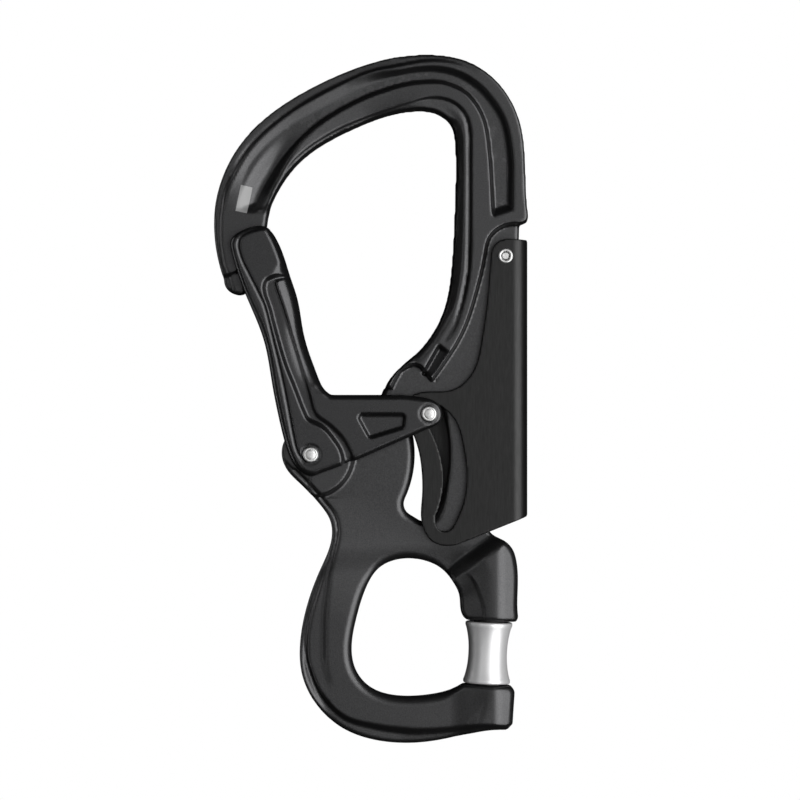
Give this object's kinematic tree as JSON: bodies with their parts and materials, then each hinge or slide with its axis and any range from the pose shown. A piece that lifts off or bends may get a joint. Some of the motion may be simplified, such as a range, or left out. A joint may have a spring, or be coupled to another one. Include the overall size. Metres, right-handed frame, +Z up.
{
  "type": "self-locking lanyard connector",
  "caption": "Hook-shaped load connector with a self-closing bell-crank gate, a palm lever that locks and opens it, and a captive eye with a free-turning waisted spool for a lanyard.",
  "frame": {"origin": "centre of the rounded inner corner of the hook, where the anchor bears, on the middle plane", "axes": "+Z up along the object from eye to hook, +X from the gate towards the palm lever, +Y through the thickness, with the front face towards -Y"},
  "size_m": [0.0785, 0.0156, 0.1718],
  "materials": {
    "black_forging": "black anodised forging, satin",
    "black_gate": "black anodised, satin with bright ribs",
    "black_lever": "black anodised sheet, fine grain",
    "pin_steel": "turned stainless steel, satin",
    "bearing_bronze": "sintered bronze, dull",
    "spring_steel": "drawn spring wire",
    "nylon": "black nylon, matte",
    "bare_aluminium": "turned and clear anodised, satin"
  },
  "bodies": {
    "frame": {"hook_frame": "black_forging", "gate_bush_front": "bearing_bronze", "gate_bush_rear": "bearing_bronze", "gate_spring": "spring_steel", "gate_washer_front": "nylon", "gate_washer_rear": "nylon", "lever_bush": "bearing_bronze", "lever_washer_front": "nylon", "lever_washer_rear": "nylon", "lever_spring": "spring_steel", "eye_bar": "pin_steel", "spool_washer_upper": "nylon", "spool_washer_lower": "nylon"},
    "gate": {"gate": "black_gate", "gate_pivot_pin": "pin_steel", "follower_pin": "pin_steel"},
    "roller": {"follower_roller": "pin_steel"},
    "lever": {"palm_lever": "black_lever", "lever_rivet_tube": "pin_steel", "lever_rivet_core": "pin_steel"},
    "spool": {"spool": "bare_aluminium", "spool_sleeve": "nylon"}
  },
  "joints": [
    {"name": "gate_swing", "type": "hinge", "parent": "frame", "child": "gate", "pos_m": [-0.0297, 0, -0.0793], "axis": [0, 1, 0], "range_deg": [0, 40], "stiffness_Nm_per_rad": 0.15, "springref_deg": -45.84, "deforming": ["gate_spring"]},
    {"name": "lever_squeeze", "type": "hinge", "parent": "frame", "child": "lever", "pos_m": [0.01875, 0, -0.0299], "axis": [0, 1, 0], "range_deg": [0, 6.3], "stiffness_Nm_per_rad": 0.1, "springref_deg": -11.46, "deforming": ["lever_spring"]},
    {"name": "roller_spin", "type": "hinge", "parent": "gate", "child": "roller", "pos_m": [-0.00029, 0, -0.06917], "axis": [0, 1, 0], "continuous": true},
    {"name": "spool_spin", "type": "hinge", "parent": "frame", "child": "spool", "pos_m": [0.01442, 0, -0.12882], "axis": [0.0419, 0, 0.9991], "continuous": true}
  ],
  "couplings": [
    {"joint": "lever_squeeze", "follows": "gate_swing", "ratio": 0.155}
  ]
}
